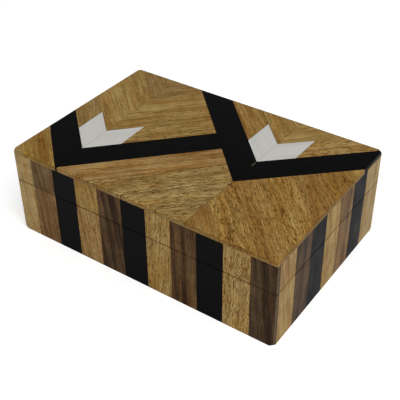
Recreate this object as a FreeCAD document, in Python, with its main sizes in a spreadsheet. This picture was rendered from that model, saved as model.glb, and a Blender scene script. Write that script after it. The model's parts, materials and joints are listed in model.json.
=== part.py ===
import FreeCAD, Part
import Sketcher
import math
import os
import re

# Inlaid wooden box with a hinged lid, as an assembly of its separate pieces.
# Millimetres and degrees. The box stands on the XY plane with its long side along X, its front
# towards -Y and its middle on the Z axis. The lid turns about the hinge pins behind the back face.

SIZES = {
    # the closed box and its parting line
    "box_length": 228.6,
    "box_depth": 152.4,
    "box_height": 76.2,
    "seam_height": 48.7,
    "seam_gap": 0.3,
    # rounding of the outside
    "corner_radius": 1.5,
    "top_radius": 1,
    "foot_radius": 1.8,
    "top_tip_depth": 1.8,
    "foot_tip_depth": 2.5,
    "tip_ball_setback": 10,
    "tip_room": 5,
    "rim_chamfer": 0.3,
    # carcass and soft sheets
    "board_thickness": 8,
    "bottom_thickness": 4,
    "lid_panel_thickness": 5,
    "felt_thickness": 1.2,
    "felt_proud": 0.4,
    "felt_margin": 0.5,
    "lining_thickness": 1.5,
    "lining_margin": 0.4,
    # strips of the facing and the inlay
    "strip_width": 21.3,
    "slat_thickness": 3.6,
    "first_slat": 17.3,
    "inlay_thickness": 3.8,
    "glue_line": 0.1,
    # chevrons of the top, from its front left corner
    "left_tip_x": 43.3,
    "left_tip_y": -0.7,
    "right_tip_x": 158.7,
    "end_angle": 43.1,
    "middle_angle": 45.75,
    "black_width": 21.7,
    "white_width": 20.5,
    "white_length": 20.8,
    # hinges
    "hinge_spacing": 130,
    "hinge_length": 22,
    "leaf_thickness": 0.9,
    "leaf_reach": 9,
    "leaf_clearance": 0.1,
    "knuckle_radius": 1.75,
    "knuckle_gap": 0.2,
    "barrel_clearance": 0.3,
    "pin_radius": 0.8,
    "pin_clearance": 0.05,
    "pin_head_radius": 1.2,
    "pin_head_height": 0.4,
    "open_angle": 100,
    "stop_margin": 4,
    "heel_height": 1.2,
    # hinge screws
    "screw_spacing": 14,
    "screw_setback": 2.4,
    "screw_length": 6,
    "screw_radius": 0.8,
    "screw_head_radius": 1.5,
    "screw_tip_length": 1.5,
    "screw_clearance": 0.05,
    "screw_slot_width": 0.5,
    "screw_slot_depth": 0.4,
}

# the right chevron's tip lies this many strips in front of the left chevron's right arm
STRIPS_BETWEEN_TIPS = 2
# a last strip narrower than this share of a strip is left on its neighbour
NARROWEST_STRIP = 0.35
SLAT_ORDER = ("light", "dark", "black")
# each end of the box begins and ends with a light slat
END_SLATS = 7
# how far cutting shapes run past what they cut
OVERRUN = "1"
# how close an edge has to be to a level to lie on it
LEVEL_TOLERANCE = 1e-4

# places worked out from the sizes
BASE_RIM = "(seam_height - seam_gap / 2)"
LID_RIM = "(seam_height + seam_gap / 2)"
LID_SLAT_TOP = "(box_height - inlay_thickness)"
BOARD_FOOT = "(felt_thickness + bottom_thickness)"
LID_BOARD_TOP = "(box_height - inlay_thickness - lid_panel_thickness)"
CORE_LENGTH = "(box_length - 2 * slat_thickness)"
CORE_DEPTH = "(box_depth - 2 * slat_thickness)"
HOLLOW_LENGTH = "(box_length - 2 * slat_thickness - 2 * board_thickness)"
HOLLOW_DEPTH = "(box_depth - 2 * slat_thickness - 2 * board_thickness)"
PIN_Y = "(box_depth / 2 + barrel_clearance + knuckle_radius)"
PIN_Z = "seam_height"
KNUCKLE = "((hinge_length - 2 * knuckle_gap) / 3)"
REACH = "(box_length + box_depth)"
LEFT_TIP = ("(left_tip_x - box_length / 2)", "(left_tip_y - box_depth / 2)")
TIP_RISE = (
    f"((right_tip_x - left_tip_x) * tan(middle_angle)"
    f" - {STRIPS_BETWEEN_TIPS} * strip_width / cos(middle_angle))"
)
RIGHT_TIP = ("(right_tip_x - box_length / 2)", f"(left_tip_y + {TIP_RISE} - box_depth / 2)")
LEFT_MITRE = "(90 + (middle_angle - end_angle) / 2)"
RIGHT_MITRE = "(90 - (middle_angle - end_angle) / 2)"

os.makedirs("parts", exist_ok=True)
doc = FreeCAD.newDocument("inlaid_box")
sheet = doc.addObject("Spreadsheet::Sheet", "Sizes")
for row, (name, value) in enumerate(SIZES.items(), start=1):
    sheet.set(f"A{row}", name)
    sheet.set(f"B{row}", str(value))
    sheet.setAlias(f"B{row}", name)
doc.recompute()
size = {name: float(sheet.get(name)) for name in SIZES}
SIZE_NAME = re.compile(r"\b(" + "|".join(SIZES) + r")\b")
nodes = []


# Helpers

def bind(obj, **expressions):
    """Tie properties to the sheet: a double underscore in a name stands for a dot."""
    for path, text in expressions.items():
        obj.setExpression(path.replace("__", "."), SIZE_NAME.sub(r"Sizes.\1", text))
    return obj


def at(obj, x="0", y="0", z="0"):
    return bind(obj, Placement__Base__x=x, Placement__Base__y=y, Placement__Base__z=z)


def turned(obj, axis, angle):
    obj.Placement.Rotation = FreeCAD.Rotation(FreeCAD.Vector(*axis), angle)
    return obj


def block(name, length, width, height, x, y, z):
    box = doc.addObject("Part::Box", name)
    bind(box, Length=length, Width=width, Height=height)
    return at(box, x, y, z)


def centred_block(name, length, width, low, high):
    """A block centred on the Z axis, from one height to another."""
    return block(name, length, width, f"{high} - {low}", f"-{length} / 2", f"-{width} / 2", low)


def rod_along_x(name, radius, length, x):
    """A round rod on the hinge axis, starting at x."""
    rod = turned(doc.addObject("Part::Cylinder", name), (0, 1, 0), 90)
    bind(rod, Radius=radius, Height=length)
    return at(rod, x, PIN_Y, PIN_Z)


def joined(kind, name, shapes):
    result = doc.addObject(kind, name)
    result.Shapes = shapes
    return result


def fused(name, shapes):
    return joined("Part::MultiFuse", name, shapes)


def shared(name, shapes):
    """What all the shapes have in common."""
    return joined("Part::MultiCommon", name, shapes)


def cut(name, base, tool):
    result = doc.addObject("Part::Cut", name)
    result.Base = base
    result.Tool = tool
    return result


def group(name, shapes):
    result = doc.addObject("Part::Compound", name)
    result.Links = shapes
    return result


def copy_of(name, original):
    link = doc.addObject("App::Link", name)
    link.LinkedObject = original
    return link


def node(obj, label):
    """Name a finished piece: the label is also its file's name."""
    obj.Label = label
    nodes.append(obj)
    return obj


# Envelopes: the rounded outside of the base and of the lid, which trims their facing and inlay

def centred_rectangle(body, name, length, depth, height):
    sketch = body.newObject("Sketcher::SketchObject", name)
    plane = next(feature for feature in body.Origin.OriginFeatures if feature.Role == "XY_Plane")
    sketch.AttachmentSupport = [(plane, "")]
    sketch.MapMode = "FlatFace"
    bind(sketch, AttachmentOffset__Base__z=height)
    signs = ((-1, -1), (1, -1), (1, 1), (-1, 1))
    corners = [
        FreeCAD.Vector(sx * size["box_length"] / 2, sy * size["box_depth"] / 2, 0) for sx, sy in signs
    ]
    for start, end in zip(corners, corners[1:] + corners[:1]):
        sketch.addGeometry(Part.LineSegment(start, end), False)
    for side in range(4):
        sketch.addConstraint(Sketcher.Constraint("Coincident", side, 2, (side + 1) % 4, 1))
        sketch.addConstraint(Sketcher.Constraint("Vertical" if side % 2 else "Horizontal", side))
    sketch.addConstraint(Sketcher.Constraint("Symmetric", 0, 1, 2, 1, -1, 1))
    for label, kind, side, text in (("length", "DistanceX", 0, length), ("depth", "DistanceY", 1, depth)):
        index = sketch.addConstraint(Sketcher.Constraint(kind, side, 1, side, 2, size[f"box_{label}"]))
        sketch.renameConstraint(index, label)
        bind(sketch, **{f"Constraints__{label}": text})
    return sketch


def upright_edges(shape):
    tall = shape.BoundBox.ZLength
    return [f"Edge{i}" for i, edge in enumerate(shape.Edges, 1) if edge.BoundBox.ZLength > tall / 2]


def level_edges(shape, height):
    found = []
    for i, edge in enumerate(shape.Edges, 1):
        box = edge.BoundBox
        if max(abs(box.ZMin - height), abs(box.ZMax - height)) < LEVEL_TOLERANCE:
            found.append(f"Edge{i}")
    return found


def dress(body, kind, name, base, edges, **amount):
    feature = body.newObject(kind, name)
    feature.Base = (base, edges)
    bind(feature, **amount)
    doc.recompute()
    return feature


def envelope(name, low, high):
    body = doc.addObject("PartDesign::Body", name)
    sketch = centred_rectangle(body, f"{name}_outline", "box_length", "box_depth", low)
    pad = body.newObject("PartDesign::Pad", f"{name}_pad")
    pad.Profile = sketch
    bind(pad, Length=f"{high} - {low}")
    doc.recompute()
    corners = upright_edges(pad.Shape)
    return body, dress(body, "PartDesign::Fillet", f"{name}_corners", pad, corners, Radius="corner_radius")


base_envelope, base_corners = envelope("base_envelope", "felt_proud", BASE_RIM)
foot = level_edges(base_corners.Shape, base_corners.Shape.BoundBox.ZMin)
base_foot = dress(
    base_envelope, "PartDesign::Fillet", "base_foot", base_corners, foot, Radius="foot_radius"
)
rim = level_edges(base_foot.Shape, base_foot.Shape.BoundBox.ZMax)
dress(base_envelope, "PartDesign::Chamfer", "base_rim", base_foot, rim, Size="rim_chamfer")

lid_envelope, lid_corners = envelope("lid_envelope", LID_RIM, "box_height")
crown = level_edges(lid_corners.Shape, lid_corners.Shape.BoundBox.ZMax)
lid_crown = dress(
    lid_envelope, "PartDesign::Fillet", "lid_crown", lid_corners, crown, Radius="top_radius"
)
rim = level_edges(lid_crown.Shape, lid_crown.Shape.BoundBox.ZMin)
dress(lid_envelope, "PartDesign::Chamfer", "lid_rim", lid_crown, rim, Size="rim_chamfer")


# The outer corners are sanded blunt: a large ball leaves the tip of each over, and the tips are cut off

def corner_tips(part, height, depth, outwards):
    tips = []
    side_length = f"tip_room + {OVERRUN}"
    for side, across in (("left", -1), ("right", 1)):
        for face, along in (("front", -1), ("back", 1)):
            name = f"{part}_{face}_{side}_tip"
            corner = (f"{across} * box_length / 2", f"{along} * box_depth / 2", height)
            signs = (across, along, outwards)
            start = [f"{c} - {'tip_room' if sign > 0 else OVERRUN}" for c, sign in zip(corner, signs)]
            centre = [f"{c} - {sign} * tip_ball_setback" for c, sign in zip(corner, signs)]
            ball = doc.addObject("Part::Sphere", f"{name}_ball")
            at(bind(ball, Radius=f"tip_ball_setback * sqrt(3) - {depth}"), *centre)
            cube = block(f"{name}_cube", side_length, side_length, side_length, *start)
            tips.append(cut(name, cube, ball))
    return fused(f"{part}_tips", tips)


base_shell = cut("base_shell", base_envelope, corner_tips("base", "felt_proud", "foot_tip_depth", -1))
lid_shell = cut("lid_shell", lid_envelope, corner_tips("lid", "box_height", "top_tip_depth", 1))
doc.recompute()


# Hinge screws and the shapes that cut their seats, one screw at the origin with its head upwards

def cone(name, low_radius, high_radius, height, z):
    shape = doc.addObject("Part::Cone", name)
    bind(shape, Radius1=low_radius, Radius2=high_radius, Height=height)
    return at(shape, z=z)


def post(name, radius, height, z):
    shape = doc.addObject("Part::Cylinder", name)
    bind(shape, Radius=radius, Height=height)
    return at(shape, z=z)


SHANK = "(screw_length - leaf_thickness - screw_tip_length)"
screw_head = cone("screw_head", "screw_radius", "screw_head_radius", "leaf_thickness", "-leaf_thickness")
screw_shank = post("screw_shank", "screw_radius", SHANK, "screw_tip_length - screw_length")
screw_tip = cone("screw_tip", "0", "screw_radius", "screw_tip_length", "-screw_length")
screw_slot = block(
    "screw_slot", "2 * screw_head_radius", "screw_slot_width", "screw_slot_depth",
    "-screw_head_radius", "-screw_slot_width / 2", "-screw_slot_depth",
)
screw = cut("screw", fused("screw_blank", [screw_head, screw_shank, screw_tip]), screw_slot)

seat_cone = cone(
    "seat_cone", "screw_radius + screw_clearance", "screw_head_radius + screw_clearance",
    "leaf_thickness", "-leaf_thickness",
)
seat_hole = post(
    "seat_hole", "screw_radius + screw_clearance", "screw_length + screw_clearance - leaf_thickness",
    "-screw_length - screw_clearance",
)
screw_seat = fused("screw_seat", [seat_cone, seat_hole])


def screw_copies(part, hinge, original, rim_height, turn):
    """One hinge leaf's screws, or the cutting shapes of their seats."""
    copies = []
    for end, sign in (("left", "-"), ("right", "+")):
        copy = copy_of(f"{part}_{hinge}_{end}_{original.Name}", original)
        turned(copy, (1, 0, 0), turn)
        x = f"{HINGE_X[hinge]} {sign} screw_spacing / 2"
        copies.append(at(copy, x, "box_depth / 2 - slat_thickness - screw_setback", rim_height))
    return copies


# Hinges: a leaf in the base with two knuckles, a leaf in the lid with one, and a pin

HINGE_X = {"left": "(-hinge_spacing / 2)", "right": "(hinge_spacing / 2)"}
RIMS = {"base": BASE_RIM, "lid": LID_RIM}
SCREW_TURN = {"base": 0, "lid": 180}
LEAF_LOW = {"base": f"{BASE_RIM} - leaf_thickness", "lid": LID_RIM}
GAIN_LOW = {"base": f"{BASE_RIM} - leaf_thickness", "lid": f"{LID_RIM} - {OVERRUN}"}


def knuckle_room(part, hinge, start, length):
    """The space that the other leaf's knuckle turns in."""
    return rod_along_x(f"{part}_{hinge}_room", "knuckle_radius + barrel_clearance", length, start)


def hinge_leaf(part, hinge):
    x = HINGE_X[hinge]
    left_end = f"{x} - hinge_length / 2"
    right_end = f"{x} + hinge_length / 2"
    plate = block(
        f"{part}_{hinge}_plate", "hinge_length", f"{PIN_Y} - box_depth / 2 + leaf_reach", "leaf_thickness",
        left_end, "box_depth / 2 - leaf_reach", LEAF_LOW[part],
    )
    barrel = rod_along_x(f"{part}_{hinge}_barrel", "knuckle_radius", "hinge_length", left_end)
    # the heels meet and stop the lid a little past its widest opening
    heel_start = left_end if part == "base" else right_end
    heel = rod_along_x(
        f"{part}_{hinge}_heel", "knuckle_radius + heel_height", "hinge_length", heel_start
    )
    bind(heel, Angle="90 - (open_angle + stop_margin) / 2")
    turned(heel, (0, 1, 0), 90 if part == "base" else -90)
    bore = rod_along_x(
        f"{part}_{hinge}_bore", "pin_radius + pin_clearance", f"hinge_length + 2 * {OVERRUN}",
        f"{left_end} - {OVERRUN}",
    )
    if part == "base":
        rooms = [
            knuckle_room(part, hinge, f"{x} - {KNUCKLE} / 2 - knuckle_gap", f"{KNUCKLE} + 2 * knuckle_gap")
        ]
    else:
        side_room = f"(hinge_length - {KNUCKLE}) / 2 + {OVERRUN}"
        rooms = [
            knuckle_room(part, hinge, f"{left_end} - {OVERRUN}", side_room),
            knuckle_room(part, hinge, f"{x} + {KNUCKLE} / 2", side_room),
        ]
    seats = screw_copies(part, hinge, screw_seat, RIMS[part], SCREW_TURN[part])
    blank = fused(f"{part}_{hinge}_leaf_blank", [plate, barrel, heel])
    tool = fused(f"{part}_{hinge}_leaf_cuts", [bore, *rooms, *seats])
    return node(cut(f"{part}_{hinge}_leaf", blank, tool), f"{hinge}_hinge_{part}_leaf")


def hinge_pin(hinge):
    x = HINGE_X[hinge]
    end = "(hinge_length / 2 + knuckle_gap)"
    shaft = rod_along_x(f"{hinge}_shaft", "pin_radius", f"2 * {end}", f"{x} - {end}")
    head_starts = {"left": f"{x} - {end} - pin_head_height", "right": f"{x} + {end}"}
    heads = [
        rod_along_x(f"{hinge}_{side}_head", "pin_head_radius", "pin_head_height", start)
        for side, start in head_starts.items()
    ]
    return node(fused(f"{hinge}_pin", [shaft, *heads]), f"{hinge}_hinge_pin")


def hinge_gains(part):
    """The recesses and screw holes that take the leaves, cut into a rim's back."""
    tools = []
    for hinge, x in HINGE_X.items():
        tools.append(
            block(
                f"{part}_{hinge}_gain",
                "hinge_length + 2 * leaf_clearance",
                f"leaf_reach + leaf_clearance + {OVERRUN}",
                f"leaf_thickness + {OVERRUN}",
                f"{x} - hinge_length / 2 - leaf_clearance",
                "box_depth / 2 - leaf_reach - leaf_clearance",
                GAIN_LOW[part],
            )
        )
        tools.extend(screw_copies(f"{part}_rim", hinge, screw_seat, RIMS[part], SCREW_TURN[part]))
    return fused(f"{part}_gains", tools)


gains = {part: hinge_gains(part) for part in ("base", "lid")}
for part in ("base", "lid"):
    screws = []
    for hinge in HINGE_X:
        hinge_leaf(part, hinge)
        screws.extend(screw_copies(part, hinge, screw, RIMS[part], SCREW_TURN[part]))
    node(group(f"{part}_screws", screws), f"{part}_hinge_screws")
for hinge in HINGE_X:
    hinge_pin(hinge)


# Carcass: boards round the hollow, long ones at the front and back with the short ones between

def carcass_boards(part, low, high):
    tall = f"{high} - {low}"
    long_x = f"-{CORE_LENGTH} / 2"
    short_y = f"-{HOLLOW_DEPTH} / 2"
    front = block(
        f"{part}_front_blank", CORE_LENGTH, "board_thickness", tall, long_x, f"-{CORE_DEPTH} / 2", low
    )
    back = block(
        f"{part}_back_blank", CORE_LENGTH, "board_thickness", tall, long_x, f"{HOLLOW_DEPTH} / 2", low
    )
    left = block(
        f"{part}_left_blank", "board_thickness", HOLLOW_DEPTH, tall, long_x, short_y, low
    )
    right = block(
        f"{part}_right_blank", "board_thickness", HOLLOW_DEPTH, tall, f"{HOLLOW_LENGTH} / 2", short_y, low
    )
    node(front, f"{part}_front_board")
    node(cut(f"{part}_back", back, gains[part]), f"{part}_back_board")
    node(left, f"{part}_left_board")
    node(right, f"{part}_right_board")


carcass_boards("base", BOARD_FOOT, BASE_RIM)
carcass_boards("lid", LID_RIM, LID_BOARD_TOP)
node(centred_block("bottom", CORE_LENGTH, CORE_DEPTH, "felt_thickness", BOARD_FOOT), "bottom_panel")
node(centred_block("lid_top", CORE_LENGTH, CORE_DEPTH, LID_BOARD_TOP, LID_SLAT_TOP), "lid_panel")
node(
    centred_block(
        "felt", f"({CORE_LENGTH} - 2 * felt_margin)", f"({CORE_DEPTH} - 2 * felt_margin)",
        "0", "felt_thickness",
    ),
    "underside_felt",
)
node(
    centred_block(
        "lining", f"({HOLLOW_LENGTH} - 2 * lining_margin)", f"({HOLLOW_DEPTH} - 2 * lining_margin)",
        BOARD_FOOT, f"({BOARD_FOOT} + lining_thickness)",
    ),
    "floor_lining",
)


# Facing: upright slats in three materials that repeat round the sides

def long_edges():
    """Slat edges along the front or back: a cut first slat, full ones, and what is left over."""
    full = (size["box_length"] - size["first_slat"]) / size["strip_width"]
    count = int(full - NARROWEST_STRIP)
    return ["0"] + [f"(first_slat + {k} * strip_width)" for k in range(count + 1)] + ["box_length"]


def short_edges():
    """Slat edges along an end: equal slats between the front and back slats."""
    return [f"(slat_thickness + {k} * {CORE_DEPTH} / {END_SLATS})" for k in range(END_SLATS + 1)]


SIDES = {
    "front": (long_edges(), 0, "-box_length / 2", "-box_depth / 2"),
    "right": (short_edges(), 90, "box_length / 2", "-box_depth / 2"),
    "back": (long_edges(), 180, "box_length / 2", "box_depth / 2"),
    "left": (short_edges(), 270, "-box_length / 2", "box_depth / 2"),
}


def facing(part, side, low, high, outside):
    edges, turn, x, y = SIDES[side]
    slats = {material: [] for material in SLAT_ORDER}
    for k, (start, end) in enumerate(zip(edges, edges[1:])):
        start_gap = "0" if start == "0" else "glue_line / 2"
        end_gap = "0" if end == "box_length" else "glue_line / 2"
        slat = block(
            f"{part}_{side}_slat", f"{end} - {start} - {start_gap} - {end_gap}", "slat_thickness",
            f"{high} - {low}", f"{start} + {start_gap}", "0", low,
        )
        slats[SLAT_ORDER[k % len(SLAT_ORDER)]].append(slat)
    for material, blanks in slats.items():
        name = f"{part}_{side}_{material}"
        row = at(turned(group(f"{name}_row", blanks), (0, 0, 1), turn), x, y)
        trimmed = shared(f"{name}_trimmed", [row, outside])
        if side == "back":
            trimmed = cut(f"{name}_let_in", trimmed, gains[part])
        node(trimmed, f"{name}_slats")


for side in SIDES:
    facing("base", side, "felt_proud", BASE_RIM, base_shell)
    facing("lid", side, LID_RIM, LID_SLAT_TOP, lid_shell)


# Inlay: bands laid parallel to the chevron arms and cut at mitres

def band(name, tip, angle, near, far):
    """A straight band of the inlay's thickness, between two distances from a line through a tip."""
    strip = doc.addObject("Part::Box", name)
    offset = f"({near} + glue_line / 2)"
    bind(strip, Length=f"2 * {REACH}", Width=f"{far} - ({near}) - glue_line", Height="inlay_thickness")
    bind(strip, Placement__Rotation__Angle=angle)
    return at(
        strip,
        f"{tip[0]} - {REACH} * cos({angle}) - {offset} * sin({angle})",
        f"{tip[1]} - {REACH} * sin({angle}) + {offset} * cos({angle})",
        LID_SLAT_TOP,
    )


def row_bands(name, tip, angle, first, span, inward=True):
    """Strips of one width side by side from a distance, the last one running on to the edge."""
    count = max(1, int(span / size["strip_width"] + 1 - NARROWEST_STRIP))
    strips = []
    for k in range(count):
        near = f"({first} + {k} * strip_width)"
        far = f"({first} + {k + 1} * strip_width)" if k < count - 1 else REACH
        if inward:
            strips.append(band(name, tip, angle, near, far))
        else:
            strips.append(band(name, tip, angle, f"(-{far})", f"(-{near})"))
    return strips


def laid(name, strips, region):
    return [shared(f"{name}_piece", [strip, region]) for strip in strips]


CHEVRON = "(black_width + white_width)"
LEFT_ARM = {"left": "(-end_angle)", "right": "middle_angle"}
RIGHT_ARM = {"left": "(-middle_angle)", "right": "end_angle"}

left_of_left_mitre = band("left_of_left_mitre", LEFT_TIP, LEFT_MITRE, "0", REACH)
right_of_left_mitre = band("right_of_left_mitre", LEFT_TIP, LEFT_MITRE, f"(-{REACH})", "0")
left_of_right_mitre = band("left_of_right_mitre", RIGHT_TIP, RIGHT_MITRE, "0", REACH)
right_of_right_mitre = band("right_of_right_mitre", RIGHT_TIP, RIGHT_MITRE, f"(-{REACH})", "0")
before_left_arm = band("before_left_arm", RIGHT_TIP, RIGHT_ARM["left"], f"(-{REACH})", "0")
before_right_arm = band("before_right_arm", RIGHT_TIP, RIGHT_ARM["right"], f"(-{REACH})", "0")

left_region = shared("left_region", [lid_shell, left_of_left_mitre, before_left_arm])
centre_region = shared(
    "centre_region", [lid_shell, right_of_left_mitre, before_left_arm, left_of_right_mitre]
)
right_region = shared("right_region", [lid_shell, right_of_right_mitre, before_right_arm])
back_region = shared("back_region", [lid_shell, left_of_right_mitre])
back_right_region = shared("back_right_region", [lid_shell, right_of_right_mitre])


def chevron_half(chevron, half, tip, angle, mitre, region):
    """One arm of a chevron: its black band, its white piece and the wood that carries on from the white."""
    name = f"{chevron}_{half}"
    black = band(f"{name}_black_band", tip, angle, "0", "black_width")
    node(shared(f"{name}_black", [black, region]), f"{chevron}_chevron_{half}_arm")
    row = band(f"{name}_white_band", tip, angle, "black_width", CHEVRON)
    if half == "left":
        near_mitre = band(f"{name}_near_mitre", tip, mitre, "0", "white_length")
        past_white = band(f"{name}_past_white", tip, mitre, "white_length", REACH)
    else:
        near_mitre = band(f"{name}_near_mitre", tip, mitre, "(-white_length)", "0")
        past_white = band(f"{name}_past_white", tip, mitre, f"(-{REACH})", "(-white_length)")
    node(shared(f"{name}_white", [row, region, near_mitre]), f"{chevron}_chevron_{half}_white")
    return shared(f"{name}_wood", [row, region, past_white])


left_wood = chevron_half("left", "left", LEFT_TIP, LEFT_ARM["left"], LEFT_MITRE, left_region)
centre_wood = chevron_half("left", "right", LEFT_TIP, LEFT_ARM["right"], LEFT_MITRE, centre_region)
back_wood = chevron_half("right", "left", RIGHT_TIP, RIGHT_ARM["left"], RIGHT_MITRE, back_region)
back_right_wood = chevron_half(
    "right", "right", RIGHT_TIP, RIGHT_ARM["right"], RIGHT_MITRE, back_right_region
)

# how far each field reaches from its chevron's outer lines, square to its strips
end_turn = math.radians(size["end_angle"])
middle_turn = math.radians(size["middle_angle"])
tip_gap = size["right_tip_x"] - size["left_tip_x"]
right_tip_y = (
    size["left_tip_y"]
    + tip_gap * math.tan(middle_turn)
    - STRIPS_BETWEEN_TIPS * size["strip_width"] / math.cos(middle_turn)
)
chevron_depth = size["black_width"] + size["white_width"]
behind_left = size["box_depth"] - size["left_tip_y"]
behind_right = size["box_depth"] - right_tip_y
past_right = size["box_length"] - size["right_tip_x"]
SPANS = {
    "left_front": size["left_tip_x"] * math.sin(end_turn) - size["left_tip_y"] * math.cos(end_turn),
    "left": behind_left * math.cos(end_turn) - chevron_depth,
    "centre": behind_left * math.cos(middle_turn) - chevron_depth,
    "front": tip_gap * math.sin(middle_turn),
    "right_front": right_tip_y * math.cos(middle_turn),
    "right": past_right * (math.sin(middle_turn) + math.tan(end_turn) * math.cos(middle_turn)),
    "back": behind_right * math.cos(middle_turn) - chevron_depth,
    "back_right": behind_right * math.cos(end_turn) - chevron_depth,
}


def field(name, tip, angle, region, first, inward=True):
    return laid(name, row_bands(name, tip, angle, first, SPANS[name], inward), region)


left_rows = field("left_front", LEFT_TIP, LEFT_ARM["left"], left_region, "0", inward=False)
left_rows += [left_wood, *field("left", LEFT_TIP, LEFT_ARM["left"], left_region, CHEVRON)]
centre_rows = [centre_wood, *field("centre", LEFT_TIP, LEFT_ARM["right"], centre_region, CHEVRON)]
front_rows = field("front", LEFT_TIP, LEFT_ARM["right"], centre_region, "0", inward=False)
right_rows = field("right_front", RIGHT_TIP, RIGHT_ARM["left"], right_region, "0", inward=False)
right_rows += field("right", RIGHT_TIP, RIGHT_ARM["left"], right_region, "0")
back_rows = [back_wood, *field("back", RIGHT_TIP, RIGHT_ARM["left"], back_region, CHEVRON)]
back_right_rows = [
    back_right_wood,
    *field("back_right", RIGHT_TIP, RIGHT_ARM["right"], back_right_region, CHEVRON),
]
node(group("left_field", left_rows), "top_left_strips")
node(group("centre_field", centre_rows), "top_centre_strips")
node(group("front_field", front_rows), "top_front_strips")
node(group("right_field", right_rows), "top_right_strips")
node(group("back_field", back_rows), "top_back_strips")
node(group("back_right_field", back_right_rows), "top_back_right_strips")


# Check every piece, then write one file for each

doc.recompute()
for obj in doc.Objects:
    if {"Invalid", "Error"} & set(obj.State):
        raise RuntimeError(f"{obj.Label} failed: {obj.State}")
for piece in nodes:
    if piece.Shape.isNull() or not piece.Shape.isValid() or not piece.Shape.Solids:
        raise RuntimeError(f"{piece.Label} has no valid shape")
for piece in nodes:
    piece.Shape.exportStep(f"parts/{piece.Label}.step")
    print(f"{piece.Label}: {len(piece.Shape.Solids)} solids, {piece.Shape.Volume:.1f} mm3")
print(f"{len(nodes)} nodes")
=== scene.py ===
# %% [markdown]
# # An inlaid wooden box
# A carcass of plain boards is faced with upright slats and closed by a lid whose top is a herringbone of
# wood strips with two black chevrons. The construction is loaded first and is never moved. Every step
# below then gives one kind of piece its finish: wood that shows its grain along each strip, cast resin,
# brass and felt.

# %% Load the construction
import json
import math
import random

import bmesh
import bpy
from mathutils import Matrix, Vector, noise

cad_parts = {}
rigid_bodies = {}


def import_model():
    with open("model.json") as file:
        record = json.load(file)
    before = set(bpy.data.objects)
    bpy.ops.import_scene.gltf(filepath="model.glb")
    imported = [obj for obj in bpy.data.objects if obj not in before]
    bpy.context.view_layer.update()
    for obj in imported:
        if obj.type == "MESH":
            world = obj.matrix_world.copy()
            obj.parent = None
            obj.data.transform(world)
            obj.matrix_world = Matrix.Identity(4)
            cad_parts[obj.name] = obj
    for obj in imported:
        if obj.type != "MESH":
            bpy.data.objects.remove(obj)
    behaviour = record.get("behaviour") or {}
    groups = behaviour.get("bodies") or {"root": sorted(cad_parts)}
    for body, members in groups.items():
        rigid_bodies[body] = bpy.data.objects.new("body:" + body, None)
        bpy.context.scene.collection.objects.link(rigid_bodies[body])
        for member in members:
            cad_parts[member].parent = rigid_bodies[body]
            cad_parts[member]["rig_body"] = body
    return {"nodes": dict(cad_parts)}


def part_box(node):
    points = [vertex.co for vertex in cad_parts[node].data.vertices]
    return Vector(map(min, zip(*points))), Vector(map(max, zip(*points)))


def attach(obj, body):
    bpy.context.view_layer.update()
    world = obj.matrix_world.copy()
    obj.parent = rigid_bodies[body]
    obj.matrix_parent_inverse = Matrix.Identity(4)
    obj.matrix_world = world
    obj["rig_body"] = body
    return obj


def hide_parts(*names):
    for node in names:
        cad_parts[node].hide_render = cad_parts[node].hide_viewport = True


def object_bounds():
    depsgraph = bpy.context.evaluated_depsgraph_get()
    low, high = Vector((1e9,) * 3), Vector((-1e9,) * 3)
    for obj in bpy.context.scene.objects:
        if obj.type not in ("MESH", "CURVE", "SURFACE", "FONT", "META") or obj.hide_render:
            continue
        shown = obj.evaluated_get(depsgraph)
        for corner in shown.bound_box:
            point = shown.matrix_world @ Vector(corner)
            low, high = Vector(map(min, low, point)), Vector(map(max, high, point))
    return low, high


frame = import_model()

MM = 0.001
cad_low, cad_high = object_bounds()
print("box of the construction in mm:", [round(side / MM, 2) for side in cad_high - cad_low])

# %% [markdown]
# ## Where the outside of the box lies
# Wear collects along the outer edges, so the finishes need to know where those edges are. The hinge
# barrels stand behind the back, so the depth is read from the facing and not from the whole box.

# %% Measure the outside
half_length = cad_high.x
half_depth = -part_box("base_front_light_slats")[0].y
top_height = cad_high.z
base_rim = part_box("base_front_light_slats")[1].z
lid_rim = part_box("lid_front_light_slats")[0].z
print("parting line in mm:", round(base_rim / MM, 2), "to", round(lid_rim / MM, 2))

# %% [markdown]
# ## Small tools for shader nodes
# A finish is a tree of nodes. Adding a node, setting its options and linking its inputs are three steps in
# Blender's Python, so one function does all three: an input that is given a socket is linked, and any
# other value is set. The others are the few sums and mixes that every finish here is made of.

# %% Tools for shader nodes
def place(tree, kind, inputs=None, **options):
    """Add a node with its options and inputs."""
    made = tree.nodes.new(kind)
    for name, value in options.items():
        setattr(made, name, value)
    for name, value in (inputs or {}).items():
        if isinstance(value, bpy.types.NodeSocket):
            tree.links.new(value, made.inputs[name])
        else:
            made.inputs[name].default_value = value
    return made


def calculate(tree, operation, first, second=0.0):
    return place(tree, "ShaderNodeMath", {0: first, 1: second}, operation=operation).outputs[0]


def mix_colours(tree, mode, factor, below, above):
    """Lay one colour over another, as paint layers are mixed in the editor."""
    inputs = {0: factor, 6: below, 7: above}
    return place(tree, "ShaderNodeMix", inputs, data_type="RGBA", blend_type=mode).outputs[2]


def spread(tree, value, low, high, start=0.0, end=1.0):
    """Map the range from low to high softly onto the range from start to end."""
    inputs = {"Value": value, "From Min": low, "From Max": high, "To Min": start, "To Max": end}
    return place(tree, "ShaderNodeMapRange", inputs, interpolation_type="SMOOTHSTEP").outputs[0]


def grade(tree, mask, start, end):
    """A value that goes from start to end as a mask goes from none to all."""
    return spread(tree, mask, 0.0, 1.0, start, end)


print("node tools are ready")

# %% [markdown]
# ## Noise with a direction
# Grain, scratches and hairs are irregular, but drawn out one way, while a Noise texture is alike in every
# direction. Stretching the coordinates before the noise draws its cells out. Counting the cells in a
# millimetre keeps the numbers readable, so metres are turned into millimetres first.

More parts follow.
